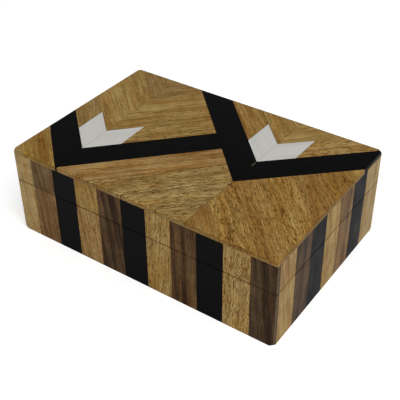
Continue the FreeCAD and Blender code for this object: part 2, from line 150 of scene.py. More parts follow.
# %% Tools for noise
def in_millimetres(tree, vector):
    return place(tree, "ShaderNodeVectorMath", {0: vector, "Scale": 1 / MM}, operation="SCALE").outputs[0]


def stretched_noise(tree, vector, along, across, depth, detail=1.0):
    """Noise whose cells are drawn out: each number is how many cells fit in a millimetre."""
    inputs = {0: vector, 1: (along, across, depth)}
    scaled = place(tree, "ShaderNodeVectorMath", inputs, operation="MULTIPLY").outputs[0]
    inputs = {"Vector": scaled, "Scale": 1.0, "Detail": detail, "Roughness": 0.5}
    return place(tree, "ShaderNodeTexNoise", inputs).outputs[0]


def fill_masks(tree, vector, noises, wanted):
    """Fill the masks of a group, each from a noise of its own.

    A noise is given by its cells along and across the grain, its detail, and the range of its values that
    the mask spreads from none to all.
    """
    for name, (along, across, detail, low, high) in noises.items():
        cells = stretched_noise(tree, vector, along, across, across, detail=detail)
        tree.links.new(spread(tree, cells, low, high), wanted[name])


print("noise tools are ready")

# %% [markdown]
# ## Node groups
# An effect that several finishes share could be copied into each of them, but then every copy has to be
# kept up. A node group is built once, has named sockets, and is placed in each finish that needs it.

# %% Tools for node groups
def start_group(name, inputs, outputs):
    """A node group with its sockets: the tree, what it is given and what it has to fill."""
    tree = bpy.data.node_groups.new(name, "ShaderNodeTree")
    for label, kind in inputs.items():
        tree.interface.new_socket(label, in_out="INPUT", socket_type=f"NodeSocket{kind}")
    for label, kind in outputs.items():
        tree.interface.new_socket(label, in_out="OUTPUT", socket_type=f"NodeSocket{kind}")
    given = tree.nodes.new("NodeGroupInput").outputs
    wanted = tree.nodes.new("NodeGroupOutput").inputs
    return tree, given, wanted


def use_group(tree, group, inputs):
    """Place a group in a tree, and give back its outputs."""
    return place(tree, "ShaderNodeGroup", inputs, node_tree=group).outputs


def read_attribute(tree, name, output="Vector"):
    return place(tree, "ShaderNodeAttribute", attribute_name=name).outputs[output]


print("group tools are ready")

# %% [markdown]
# ## Colours and materials
# Colours are written as a colour picker shows them, and turned into the light that a shader works with. A
# value that is the same all over is set on the shader itself, because an exporter reads it there, and only
# what changes over the surface is linked.

# %% Tools for materials
def shade(red, green, blue):
    """A colour as a display shows it, from 0 to 255, turned into the light that a shader works with."""
    light = []
    for part in (red, green, blue):
        part = part / 255
        light.append(part / 12.92 if part <= 0.04045 else ((part + 0.055) / 1.055) ** 2.4)
    return (*light, 1.0)


def start_material(name, **plain):
    """A material with its shader, whose inputs that are the same all over are set here."""
    material = bpy.data.materials.new(name)
    material.use_nodes = True
    tree = material.node_tree
    tree.nodes.clear()
    shader = place(tree, "ShaderNodeBsdfPrincipled", plain)
    place(tree, "ShaderNodeOutputMaterial", {"Surface": shader.outputs[0]})
    return material, tree, shader


def finish_material(tree, shader, colour, roughness, height, depth):
    """Link what changes over the surface; depth is how deep the height goes, in millimetres."""
    bump = place(tree, "ShaderNodeBump", {"Strength": 1.0, "Distance": depth * MM, "Height": height})
    tree.links.new(colour, shader.inputs["Base Color"])
    tree.links.new(roughness, shader.inputs["Roughness"])
    tree.links.new(bump.outputs[0], shader.inputs["Normal"])


print("material tools are ready")

# %% [markdown]
# ## The figure of wood
# Wood is not a picture on the surface but goes right through a board: slow colour bands from its growth,
# fine fibres, dark flecks and open pores, all drawn out along the grain. A solid noise gives that on every
# face, ends included. Each strip carries its own grain coordinates as an attribute, so one group serves
# every wood here, whichever way its strips run.

# %% Node group: figure of wood
WOOD_NOISES = {
    "Bands": (0.009, 0.16, 3, 0.36, 0.66),
    "Streaks": (0.04, 1.0, 2, 0.32, 0.68),
    "Flecks": (0.24, 1.3, 1, 0.54, 0.72),
    "Fibres": (0.06, 3.0, 2, 0.3, 0.7),
    "Pores": (0.5, 3.4, 0, 0.6, 0.75),
    "Warmth": (0.03, 0.14, 2, 0.4, 0.66),
}
# the ripple lies across the grain, and doesn't bend with it
RIPPLE_NOISE = {"Ripple": (0.12, 0.05, 2, 0.3, 0.7)}
# curly grain sways slowly and shivers: the cells of both noises, and how many millimetres they move it
SWAY_CELLS = (0.025, 0.05, 0.05)
SHIVER_CELLS = (0.16, 0.12, 0.12)
SWAY = 9.0
SHIVER = 4.2
# crest lines: the cells of their noise, and how far from its middle value a line has faded out
LINE_CELLS = (0.06, 0.45, 0.45)
LINE_WIDTH = 0.06


def make_wood_figure():
    masks = (*WOOD_NOISES, *RIPPLE_NOISE, "Lines")
    tree, given, wanted = start_group(
        "wood figure", {"Grain": "Vector", "Curl": "Float"}, {name: "Float" for name in masks}
    )
    grain = in_millimetres(tree, given["Grain"])
    wander = stretched_noise(tree, grain, *SWAY_CELLS)
    waves = stretched_noise(tree, grain, *SHIVER_CELLS, detail=2)
    sway = calculate(tree, "MULTIPLY", calculate(tree, "SUBTRACT", wander, 0.5), SWAY)
    shiver = calculate(tree, "MULTIPLY", calculate(tree, "SUBTRACT", waves, 0.5), SHIVER)
    shift = calculate(tree, "MULTIPLY", calculate(tree, "ADD", sway, shiver), given["Curl"])
    aside = place(tree, "ShaderNodeCombineXYZ", {"Y": shift}).outputs[0]
    bent = place(tree, "ShaderNodeVectorMath", {0: grain, 1: aside}, operation="ADD").outputs[0]
    fill_masks(tree, bent, WOOD_NOISES, wanted)
    fill_masks(tree, grain, RIPPLE_NOISE, wanted)
    # a line runs wherever a slow noise passes through its middle value
    crests = stretched_noise(tree, bent, *LINE_CELLS, detail=1)
    off_crest = calculate(tree, "ABSOLUTE", calculate(tree, "SUBTRACT", crests, 0.5))
    tree.links.new(spread(tree, off_crest, LINE_WIDTH, 0.0), wanted["Lines"])
    return tree


wood_figure = make_wood_figure()
print("wood figure:", len(wood_figure.nodes), "nodes")

# %% [markdown]
# ## Wear, painted highlights and painted shade along the outer edges
# Hands rub the upright corners of a box pale, and noise breaks the border of that wear up. The paler corners
# also stand in for light catching them, so they are partly a painted highlight. The wear reaches further on
# the left and right, where the ends of the long sides' slats show. The edge of the inlay is its own small
# stripe: darker just below the arris, a painted shade of its side face, and a greyer brown just above the
# joint to the slats. Along the parting line the wood is darkened too, a painted shade of the gap. All of it
# could be painted by hand, but working from coordinates needs no picture and keeps it where it is in every
# view.

# %% Node group: wear, painted highlights and painted shade along the edges
# how fast a corner's wear and painted highlight end across the front and back, and across the left and right
FRONT_RATE = 1.5
SIDE_RATE = 0.3
CORNER_CELLS = (0.35, 0.35, 0.35)
CORNER_FADED = 2.0 * MM
CORNER_FULL = 0.4 * MM
# stripes round the box: the height of each, and how far from there it has faded out and is still full
STRIPES = {
    # painted shade on the inlay's side face, just below the arris
    "Rim shade": (top_height - 1.1 * MM, 1.1 * MM, 0.5 * MM),
    # a greyer brown stripe on the inlay's edge, just above the slats
    "Low stripe": (top_height - 2.7 * MM, 0.9 * MM, 0.3 * MM),
    # painted shade along the parting line, standing in for the shadow in the gap
    "Seam": ((base_rim + lid_rim) / 2, 0.9 * MM, 0.35 * MM),
}


def make_edge_wear_and_painted_light():
    marks = ("Wear and highlight", *STRIPES)
    tree, given, wanted = start_group("edge wear and painted light", {"Reach": "Float"}, {name: "Float" for name in marks})
    where = place(tree, "ShaderNodeTexCoord").outputs["Object"]
    point = place(tree, "ShaderNodeSeparateXYZ", {0: where}).outputs
    from_side = calculate(tree, "SUBTRACT", half_length, calculate(tree, "ABSOLUTE", point["X"]))
    from_front = calculate(tree, "SUBTRACT", half_depth, calculate(tree, "ABSOLUTE", point["Y"]))
    from_side = calculate(tree, "MULTIPLY", from_side, FRONT_RATE)
    from_front = calculate(tree, "MULTIPLY", from_front, SIDE_RATE)
    ragged = stretched_noise(tree, in_millimetres(tree, where), *CORNER_CELLS, detail=3)
    reach = calculate(tree, "MULTIPLY", given["Reach"], ragged)
    corner = calculate(tree, "DIVIDE", calculate(tree, "MAXIMUM", from_side, from_front), reach)
    tree.links.new(spread(tree, corner, CORNER_FADED, CORNER_FULL), wanted["Wear and highlight"])
    for name, (height, faded, full) in STRIPES.items():
        away = calculate(tree, "ABSOLUTE", calculate(tree, "SUBTRACT", point["Z"], height))
        tree.links.new(spread(tree, away, faded, full), wanted[name])
    return tree


edge_wear_and_painted_light = make_edge_wear_and_painted_light()
print("edge wear and painted light:", len(edge_wear_and_painted_light.nodes), "nodes")

# %% [markdown]
# ## Handling marks
# Polished resin and brass are covered in hair-fine scratches that follow the sanding, with a few specks and
# a cloudy haze. A picture of scratches would repeat, so these are noises too. The same group gives them to
# every polished piece, each with its own strength.

# %% Node group: handling marks
MARK_NOISES = {
    "Scratches": (0.04, 5.0, 2, 0.55, 0.75),
    "Specks": (1.4, 1.4, 1, 0.7, 0.8),
    "Haze": (0.05, 0.12, 3, 0.3, 0.7),
}


def make_handling_marks():
    masks = {name: "Float" for name in MARK_NOISES}
    tree, given, wanted = start_group("handling marks", {"Grain": "Vector"}, masks)
    fill_masks(tree, in_millimetres(tree, given["Grain"]), MARK_NOISES, wanted)
    return tree


handling_marks = make_handling_marks()
print("handling marks:", len(handling_marks.nodes), "nodes")

# %% [markdown]
# ## Light wood
# A yellow-brown wood with short dark flecks, satin lacquered. Every strip is cut from another board, so its
# tone comes from an attribute, and so do the strengths of its flecks, bands and curl. The finish multiplies
# darker tints over the tone, as real grain is the same wood, only denser.

# %% Material: light wood
SATIN = {"Specular IOR Level": 0.045}
FLECK_RELIEF = 0.4
# worn corners with a painted highlight, and the greyer stripe, on the light wood: their colour, and how
# strong they are
LIGHT_RUBBED_AND_LIT = shade(178, 150, 104)
LIGHT_WEAR_AND_HIGHLIGHT = 0.4
LOW_STRIPE_BROWN = shade(110, 88, 62)
LOW_STRIPE_STRENGTH = 0.35


def board_attributes(tree):
    """What a strip says of the board it was cut from."""
    amounts = place(tree, "ShaderNodeSeparateXYZ", {0: read_attribute(tree, "figure")}).outputs
    return read_attribute(tree, "grain"), read_attribute(tree, "tone", "Color"), amounts


def lay_tints(tree, colour, tints):
    """Multiply tints over a colour, each where its mask is."""
    for mask, tint in tints:
        colour = mix_colours(tree, "MULTIPLY", mask, colour, shade(*tint))
    return colour


def wood_relief(tree, figure, fibres, hollows):
    """Fibres stand up by a share of the depth to which the hollows go down."""
    return calculate(tree, "SUBTRACT", calculate(tree, "MULTIPLY", figure["Fibres"], fibres), hollows)


def make_light_wood():
    material, tree, shader = start_material("light wood finish", **SATIN)
    grain, tone, amounts = board_attributes(tree)
    figure = use_group(tree, wood_figure, {"Grain": grain, "Curl": amounts["Z"]})
    edges = use_group(tree, edge_wear_and_painted_light, {"Reach": 1.0})
    bands = calculate(tree, "MULTIPLY", figure["Bands"], amounts["Y"])
    flecks = calculate(tree, "MULTIPLY", figure["Flecks"], amounts["X"])
    crests = calculate(tree, "MULTIPLY", amounts["X"], amounts["Z"])
    crests = calculate(tree, "MULTIPLY", figure["Lines"], crests)
    grain_tints = [
        (bands, (212, 196, 174)),
        (figure["Streaks"], (214, 204, 186)),
        (figure["Ripple"], (240, 236, 229)),
        (figure["Warmth"], (249, 236, 214)),
        (crests, (182, 166, 138)),
        (flecks, (158, 138, 108)),
        (figure["Fibres"], (236, 231, 222)),
        (figure["Pores"], (184, 165, 140)),
    ]
    colour = lay_tints(tree, tone, grain_tints)
    # rubbed corners, paler partly from wear and partly as a painted highlight
    worn_and_lit = calculate(tree, "MULTIPLY", edges["Wear and highlight"], LIGHT_WEAR_AND_HIGHLIGHT)
    colour = mix_colours(tree, "MIX", worn_and_lit, colour, LIGHT_RUBBED_AND_LIT)
    # painted shade on the inlay's side face, just below the arris
    colour = lay_tints(tree, colour, [(edges["Rim shade"], (233, 226, 206))])
    # a greyer brown stripe on the inlay's edge, just above the slats
    low_striped = calculate(tree, "MULTIPLY", edges["Low stripe"], LOW_STRIPE_STRENGTH)
    colour = mix_colours(tree, "MIX", low_striped, colour, LOW_STRIPE_BROWN)
    joint = read_attribute(tree, "joint", "Fac")
    # painted shade along the parting line, and the dark joints between strips
    colour = lay_tints(tree, colour, [(edges["Seam"], (202, 193, 182)), (joint, (84, 66, 48))])
    roughness = grade(tree, figure["Fibres"], start=0.4, end=0.52)
    hollows = calculate(tree, "MULTIPLY", flecks, FLECK_RELIEF)
    hollows = calculate(tree, "MAXIMUM", figure["Pores"], hollows)
    height = wood_relief(tree, figure, fibres=0.15, hollows=hollows)
    finish_material(tree, shader, colour, roughness, height, depth=0.02)
    return material


light_wood = make_light_wood()
print("light wood:", len(light_wood.node_tree.nodes), "nodes")

# %% [markdown]
# ## Dark wood
# A grey-brown to chocolate wood with long streaks and fine pores. It could be the light wood in a darker
# tone, but its bands are stronger, and it has no crest lines or greyer stripe above the slats, so it gets a
# tree of its own from the same groups.

# %% Material: dark wood
# worn corners with a painted highlight on the dark wood: their colour, and how strong they are
DARK_RUBBED_AND_LIT = shade(124, 102, 80)
DARK_WEAR_AND_HIGHLIGHT = 0.5
# how strong the painted shade along the parting line is
DARK_SEAM_SHADE = 0.4


def make_dark_wood():
    material, tree, shader = start_material("dark wood finish", **SATIN)
    grain, tone, amounts = board_attributes(tree)
    figure = use_group(tree, wood_figure, {"Grain": grain, "Curl": amounts["Z"]})
    edges = use_group(tree, edge_wear_and_painted_light, {"Reach": 1.0})
    bands = calculate(tree, "MULTIPLY", figure["Bands"], amounts["Y"])
    flecks = calculate(tree, "MULTIPLY", figure["Flecks"], amounts["X"])
    grain_tints = [
        (bands, (136, 126, 118)),
        (figure["Streaks"], (200, 192, 184)),
        (figure["Ripple"], (228, 221, 214)),
        (figure["Warmth"], (240, 222, 206)),
        (flecks, (170, 158, 148)),
        (figure["Fibres"], (226, 220, 214)),
        (figure["Pores"], (168, 156, 146)),
    ]
    colour = lay_tints(tree, tone, grain_tints)
    # rubbed corners, paler partly from wear and partly as a painted highlight
    worn_and_lit = calculate(tree, "MULTIPLY", edges["Wear and highlight"], DARK_WEAR_AND_HIGHLIGHT)
    colour = mix_colours(tree, "MIX", worn_and_lit, colour, DARK_RUBBED_AND_LIT)
    # painted shade along the parting line
    seam_shaded = calculate(tree, "MULTIPLY", edges["Seam"], DARK_SEAM_SHADE)
    joint = read_attribute(tree, "joint", "Fac")
    colour = lay_tints(tree, colour, [(seam_shaded, (182, 170, 156)), (joint, (90, 76, 64))])
    roughness = grade(tree, figure["Fibres"], start=0.4, end=0.54)
    height = wood_relief(tree, figure, fibres=0.15, hollows=figure["Pores"])
    finish_material(tree, shader, colour, roughness, height, depth=0.02)
    return material


dark_wood = make_dark_wood()
print("dark wood:", len(dark_wood.node_tree.nodes), "nodes")

# %% [markdown]
# ## Black resin
# The chevrons and the black slats are cast resin, sawn into strips and sanded with the wood to a satin
# gloss. One flat black would look like a hole in the box, so haze, scratches and specks lift it a little,
# and the scratches are rougher too, as sanding leaves them.

# %% Material: black resin
BLACK_CLEAR = shade(5, 5, 5)
BLACK_HAZY = shade(8, 8, 8)
BLACK_SCRATCH = shade(14, 14, 14)
BLACK_SPECK = shade(26, 25, 24)


def scratched(tree, marks, clear, hazy, scratch):
    """How rough a polished surface is, and its relief, both with their scratches."""
    rough = grade(tree, marks["Haze"], clear, hazy)
    roughness = calculate(tree, "ADD", rough, calculate(tree, "MULTIPLY", marks["Scratches"], scratch))
    return roughness, calculate(tree, "MULTIPLY", marks["Scratches"], -1.0)


def make_black_resin():
    material, tree, shader = start_material("black resin finish", **{"Specular IOR Level": 0.025})
    grain = read_attribute(tree, "grain")
    marks = use_group(tree, handling_marks, {"Grain": grain})
    colour = mix_colours(tree, "MIX", marks["Haze"], BLACK_CLEAR, BLACK_HAZY)
    colour = mix_colours(tree, "MIX", marks["Scratches"], colour, BLACK_SCRATCH)
    colour = mix_colours(tree, "MIX", marks["Specks"], colour, BLACK_SPECK)
    roughness, height = scratched(tree, marks, clear=0.36, hazy=0.46, scratch=0.1)
    finish_material(tree, shader, colour, roughness, height, depth=0.003)
    return material


black_resin = make_black_resin()
print("black resin:", len(black_resin.node_tree.nodes), "nodes")

# %% [markdown]
# ## White resin
# The white halves are the same resin in another colour, with faint flow lines along the strip and a little
# yellowing. The figure of wood, kept very faint, gives those lines, so no new texture is needed.

# %% Material: white resin
WHITE_CLEAR = shade(190, 189, 183)
WHITE_HAZY = shade(184, 183, 178)
WHITE_FLOW = shade(194, 193, 189)
WHITE_SPECK = shade(160, 152, 134)
FLOW_CURL = 0.6


def make_white_resin():
    material, tree, shader = start_material("white resin finish", **SATIN)
    grain = read_attribute(tree, "grain")
    marks = use_group(tree, handling_marks, {"Grain": grain})
    figure = use_group(tree, wood_figure, {"Grain": grain, "Curl": FLOW_CURL})
    colour = mix_colours(tree, "MIX", marks["Haze"], WHITE_CLEAR, WHITE_HAZY)
    colour = mix_colours(tree, "MIX", figure["Bands"], colour, WHITE_FLOW)
    colour = lay_tints(tree, colour, [(figure["Fibres"], (250, 249, 246))])
    colour = mix_colours(tree, "MIX", marks["Specks"], colour, WHITE_SPECK)
    roughness, height = scratched(tree, marks, clear=0.34, hazy=0.44, scratch=0.1)
    finish_material(tree, shader, colour, roughness, height, depth=0.003)
    return material


white_resin = make_white_resin()
print("white resin:", len(white_resin.node_tree.nodes), "nodes")

# %% [markdown]
# ## Plain wood inside
# The boards inside are sanded and oiled but not lacquered, so they are drier and duller than the facing.
# The light wood's finish could serve, but these boards have no rubbed corners with their painted highlight,
# no painted shade and no greyer stripe, so this one leaves them out, and it is rougher.

# %% Material: carcass wood
def make_carcass_wood():
    material, tree, shader = start_material("carcass wood finish", **{"Specular IOR Level": 0.2})
    grain, tone, amounts = board_attributes(tree)
    figure = use_group(tree, wood_figure, {"Grain": grain, "Curl": amounts["Z"]})
    marks = use_group(tree, handling_marks, {"Grain": grain})
    bands = calculate(tree, "MULTIPLY", figure["Bands"], amounts["Y"])
    flecks = calculate(tree, "MULTIPLY", figure["Flecks"], amounts["X"])
    grain_tints = [
        (bands, (216, 204, 188)),
        (flecks, (186, 168, 146)),
        (figure["Fibres"], (236, 231, 224)),
        (figure["Pores"], (190, 172, 150)),
        (marks["Haze"], (240, 237, 232)),
    ]
    colour = lay_tints(tree, tone, grain_tints)
    roughness = grade(tree, figure["Fibres"], start=0.6, end=0.75)
    height = wood_relief(tree, figure, fibres=0.4, hollows=figure["Pores"])
    finish_material(tree, shader, colour, roughness, height, depth=0.03)
    return material


carcass_wood = make_carcass_wood()
print("carcass wood:", len(carcass_wood.node_tree.nodes), "nodes")

# %% [markdown]
# ## Brass
# The hinges are brushed brass, a little tarnished. A metal has its colour in its reflections, so Metallic
# is full, and the tarnish goes into the colour and the roughness together.

# %% Material: brass
BRASS_CLEAR = shade(206, 172, 108)
BRASS_TARNISH = shade(176, 138, 78)
BRASS_SPECK = shade(96, 72, 44)


def make_brass():
    material, tree, shader = start_material("brass finish", **{"Metallic": 1.0})
    where = place(tree, "ShaderNodeTexCoord").outputs["Object"]
    marks = use_group(tree, handling_marks, {"Grain": where})
    colour = mix_colours(tree, "MIX", marks["Haze"], BRASS_CLEAR, BRASS_TARNISH)
    colour = lay_tints(tree, colour, [(marks["Scratches"], (224, 214, 196))])
    colour = mix_colours(tree, "MIX", marks["Specks"], colour, BRASS_SPECK)
    roughness, height = scratched(tree, marks, clear=0.28, hazy=0.42, scratch=0.12)
    finish_material(tree, shader, colour, roughness, height, depth=0.008)
    return material


brass = make_brass()
print("brass:", len(brass.node_tree.nodes), "nodes")

# %% [markdown]
# ## Felt
# Felt is short hair pressed into a matt sheet. Real hairs would be heavy for a lining, so two crossed
# noises give the nap as colour and bump, and a little sheen catches the light along its rim.

# %% Material: felt
FELT_ROOTS = shade(18, 18, 19)
FELT_TIPS = shade(52, 51, 51)
HAIR_CELLS = (2.2, 2.6, 2.4)
CROSSED_CELLS = (0.7, 5.0, 2.0)
TUFT_CELLS = (0.14, 0.14, 0.14)


def make_felt():
    material, tree, shader = start_material(
        "felt finish", **{"Specular IOR Level": 0.1, "Sheen Weight": 0.25, "Sheen Roughness": 0.5}
    )
    where = place(tree, "ShaderNodeTexCoord").outputs["Object"]
    millimetres = in_millimetres(tree, where)
    hairs = stretched_noise(tree, millimetres, *HAIR_CELLS, detail=4)
    crossed = stretched_noise(tree, millimetres, *CROSSED_CELLS, detail=2)
    tufts = stretched_noise(tree, millimetres, *TUFT_CELLS, detail=3)
    nap = calculate(tree, "MULTIPLY", spread(tree, hairs, 0.3, 0.7), spread(tree, crossed, 0.2, 0.7))
    colour = mix_colours(tree, "MIX", nap, FELT_ROOTS, FELT_TIPS)
    colour = lay_tints(tree, colour, [(spread(tree, tufts, 0.35, 0.7), (206, 206, 208))])
    roughness = spread(tree, hairs, 0.3, 0.7, start=0.85, end=1.0)
    finish_material(tree, shader, colour, roughness, nap, depth=0.25)
    return material


felt = make_felt()
print("felt:", len(felt.node_tree.nodes), "nodes")

# %% [markdown]
# ## Glue
# The glue is what the maker left in the mitres: yellowish, dull and uneven. A plain colour would do at this
# width, but the haze keeps the line from looking drawn.

# %% Material: glue
GLUE_PALE = shade(176, 166, 128)
GLUE_DARK = shade(136, 126, 94)


def make_glue():
    material, tree, shader = start_material("glue", **{"Specular IOR Level": 0.3})
    where = place(tree, "ShaderNodeTexCoord").outputs["Object"]
    marks = use_group(tree, handling_marks, {"Grain": where})
    colour = mix_colours(tree, "MIX", marks["Haze"], GLUE_PALE, GLUE_DARK)
    roughness = grade(tree, marks["Haze"], start=0.35, end=0.5)
    finish_material(tree, shader, colour, roughness, marks["Specks"], depth=0.01)
    return material


glue = make_glue()
print("glue:", len(glue.node_tree.nodes), "nodes")

# %% [markdown]
# ## From a drawn solid to a sanded piece
# The construction's meshes are loose triangles with knife-sharp edges. A copy is welded, its triangles are
# dissolved into whole faces, and a fine bevel eases every sharp edge the way sandpaper does. A Bevel
# modifier would do the same, but here the eased faces are marked as well, because dirt collects in them.

# %% Tools for sanding
WELD = 0.001 * MM
FLAT = math.radians(0.5)
SHARP = math.radians(30)


def sanded_copy(node, ease, dirt=1.0):
    """A welded copy of a piece of the construction with its sharp edges eased.

    The eased faces line the joints, and dirt says how dark such a joint has become.
    """
    mesh = bmesh.new()
    mesh.from_mesh(frame["nodes"][node].data)
    joint_layer = mesh.faces.layers.float.new("joint")
    bmesh.ops.remove_doubles(mesh, verts=mesh.verts, dist=WELD)
    bmesh.ops.dissolve_limit(mesh, angle_limit=FLAT, verts=mesh.verts, edges=mesh.edges)
    sharp = [edge for edge in mesh.edges if edge.is_manifold and edge.calc_face_angle() > SHARP]
    eased = bmesh.ops.bevel(
        mesh, geom=sharp, offset=ease, offset_type="OFFSET", affect="EDGES", segments=2, profile=0.5,
        material=-1, clamp_overlap=True,
    )
    for face in eased["faces"]:
        face[joint_layer] = dirt
    low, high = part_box(node)
    for vertex in mesh.verts:
        vertex.co = [min(max(vertex.co[axis], low[axis]), high[axis]) for axis in range(3)]
    return mesh


print("sanding tools are ready")

# %% [markdown]
# ## Which place in a log a strip comes from
# Grain that is read from the place of a strip would run on from one strip into the next. Each solid is
# therefore told apart, and its vertices get grain coordinates that are turned along the strip and moved to
# some other place in the log. Seeds made from the names give the same places in every run.

# %% Tools for strips
LOG_REACH = 1.0
LEAN = 3
PLAIN_TONE = (1.0, 1.0, 1.0, 1.0)
PLAIN_FIGURE = (0.0, 0.0, 0.0)


def separate_solids(mesh, direction):
    """The solids in a mesh as lists of vertices, in the order in which they lie along a direction."""
    unseen = set(mesh.verts)
    solids = []
    while unseen:
        todo = [unseen.pop()]
        solid = []
        while todo:
            vertex = todo.pop()
            solid.append(vertex)
            neighbours = {edge.other_vert(vertex) for edge in vertex.link_edges} & unseen
            unseen -= neighbours
            todo.extend(neighbours)
        solids.append(solid)
    return sorted(solids, key=lambda solid: sum(v.co.dot(direction) for v in solid) / len(solid))


def grain_frame(along, across):
    """Rows that turn a point into its places along the grain, across it and in depth."""
    along, across = Vector(along), Vector(across)
    return Matrix((along, across, along.cross(across)))


def mark_strips(mesh, along, across, name, boards=None, lean=LEAN):
    """Write on each solid which place in a log it was cut from, and its board's tone and figure.

    The grain leans by up to so many degrees, as no board is sawn quite along it. A new layer makes old
    vertex lists invalid, so the layers come before the solids are told apart.
    """
    grain_layer = mesh.verts.layers.float_vector.new("grain")
    tone_layer = mesh.verts.layers.float_color.new("tone")
    figure_layer = mesh.verts.layers.float_vector.new("figure")
    straight = grain_frame(along, across)
    solids = separate_solids(mesh, Vector(across))
    for number, solid in enumerate(solids):
        draw = random.Random(f"{name} {number}")
        log_place = Vector([draw.uniform(-LOG_REACH, LOG_REACH) for axis in range(3)])
        turn = Matrix.Rotation(math.radians(draw.uniform(-lean, lean)), 3, "Z") @ straight
        tone, figure = boards[number] if boards else (PLAIN_TONE, PLAIN_FIGURE)
        for vertex in solid:
            vertex[grain_layer] = turn @ vertex.co + log_place
            vertex[tone_layer] = tone
            vertex[figure_layer] = figure
    return len(solids)


print("strip tools are ready")

# %% [markdown]
# ## Showing a piece
# A finished mesh becomes an object that rides on the base or the lid and stands for the piece that it was
# copied from. Its bevels are shaded smooth, and a Weighted Normal modifier keeps the large faces flat in
# the light all the same.

# %% Tools for showing pieces
SMOOTH = math.radians(50)


def show(name, mesh, material, body):
    """Turn a finished mesh into a piece that rides on a body."""
    data = bpy.data.meshes.new(name)
    mesh.to_mesh(data)
    mesh.free()
    data.shade_smooth()
    data.set_sharp_from_angle(angle=SMOOTH)
    data.materials.append(material)
    piece = bpy.data.objects.new(name, data)
    bpy.context.scene.collection.objects.link(piece)
    piece.modifiers.new("flat faces", "WEIGHTED_NORMAL").keep_sharp = True
    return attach(piece, body)


def stand_for(node, mesh, material):
    """Show a finished mesh in the place of a piece of the construction."""
    piece = show(f"finished_{node}", mesh, material, frame["nodes"][node]["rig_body"])
    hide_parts(node)
    return piece


print("showing tools are ready")

# %% [markdown]
# ## Boards that the strips are cut from
# No two strips of the real top match, because each is cut from another offcut. The tones have names a
# maker would use, and a figure says how strong the flecks, bands and curl are. Strips are listed from the
# front to the back of their field.

# %% Tones and figures
LIGHT_TONES = {
    "honey": shade(180, 151, 92),
    "straw": shade(189, 169, 118),
    "rose": shade(187, 159, 109),
    "peach": shade(197, 173, 117),
    "barley": shade(189, 161, 98),
    "ginger": shade(168, 138, 83),
    "flax": shade(207, 184, 131),
    "olive": shade(182, 158, 101),
    "amber": shade(170, 139, 76),
    "gold": shade(176, 148, 84),
    "tan": shade(168, 145, 97),
    "cream": shade(197, 173, 116),
    "pale": shade(200, 181, 136),
}
DARK_TONES = {
    "umber": shade(105, 83, 57),
    "sable": shade(99, 81, 59),
    "chocolate": shade(115, 92, 64),
    "walnut": shade(128, 102, 67),
    "nutmeg": shade(162, 131, 85),
    "smoke": shade(142, 119, 84),
}
# strength of flecks, of bands and of curl
FIGURES = {
    "plain": (0.35, 0.6, 0.3),
    "flecked": (1.0, 0.6, 0.45),
    "streaked": (0.5, 1.0, 0.3),
    "curly": (1.0, 0.7, 0.9),
}


def cut_from(tones, boards):
    """Turn the names of boards into tones and strengths."""
    return [(tones[tone], FIGURES[figure]) for tone, figure in boards]


print(len(LIGHT_TONES), "light tones,", len(DARK_TONES), "dark tones,", len(FIGURES), "figures")

# %% [markdown]
# ## Facing slats
# On each side the slats repeat: light, dark, black. They could be drawn anew, but the construction already
# has them in the right size, so copies are sanded and given their grain. The box was glued up closed and
# then sawn open, so a slat's grain runs on across the parting line: the base's slat and the lid's slat
# share one seed.

# %% Facing slats
EASE = 0.12 * MM
SLAT_DIRT = 0.5
SLAT_LEAN = 8
UP = Vector((0, 0, 1))
SIDE_RUNS = {"front": (1, 0, 0), "right": (0, 1, 0), "back": (-1, 0, 0), "left": (0, -1, 0)}
LONG_LIGHT = [("pale", "plain"), ("rose", "flecked"), ("peach", "flecked"), ("flax", "curly")]
LONG_DARK = [("nutmeg", "plain"), ("umber", "streaked"), ("walnut", "streaked"), ("sable", "streaked")]
SHORT_LIGHT = [("cream", "plain"), ("cream", "plain"), ("pale", "plain")]
SHORT_DARK = [("chocolate", "streaked"), ("nutmeg", "plain")]
SIDE_BOARDS = {
    "front": (LONG_LIGHT, LONG_DARK),
    "right": (SHORT_LIGHT, SHORT_DARK),
    "back": (LONG_LIGHT, LONG_DARK),
    "left": (SHORT_LIGHT, SHORT_DARK),
}
# a board changes its tone along its length, and these slats do so near the parting line
LID_LIGHT = {("front", 1): ("honey", "flecked"), ("right", 0): ("rose", "plain")}
LID_DARK = {("front", 0): ("smoke", "plain"), ("front", 1): ("chocolate", "streaked")}


def boards_of(part, side, boards, lid_changes):
    """The boards of one side, with those whose tone differs on the lid."""
    changes = lid_changes if part == "lid" else {}
    return [changes.get((side, number), board) for number, board in enumerate(boards)]


def finish_slats(part, side, kind, material, boards=None):
    node = f"{part}_{side}_{kind}_slats"
    mesh = sanded_copy(node, EASE, dirt=SLAT_DIRT)
    count = mark_strips(mesh, UP, SIDE_RUNS[side], f"{side} {kind}", boards, lean=SLAT_LEAN)
    stand_for(node, mesh, material)
    return count


slat_count = 0
for part in ("base", "lid"):
    for side, (light_boards, dark_boards) in SIDE_BOARDS.items():
        light_cuts = cut_from(LIGHT_TONES, boards_of(part, side, light_boards, LID_LIGHT))
        dark_cuts = cut_from(DARK_TONES, boards_of(part, side, dark_boards, LID_DARK))
        slat_count += finish_slats(part, side, "light", light_wood, light_cuts)
        slat_count += finish_slats(part, side, "dark", dark_wood, dark_cuts)
        slat_count += finish_slats(part, side, "black", black_resin)
print("facing slats:", slat_count)

# %% [markdown]
# ## Strips of the top
# The herringbone strips lie at about 45 degrees, and each field runs parallel to one arm of a chevron. One
# texture over the whole top would run straight through the joints. Here the grain follows each strip, so
# the light seems to change where two fields meet.

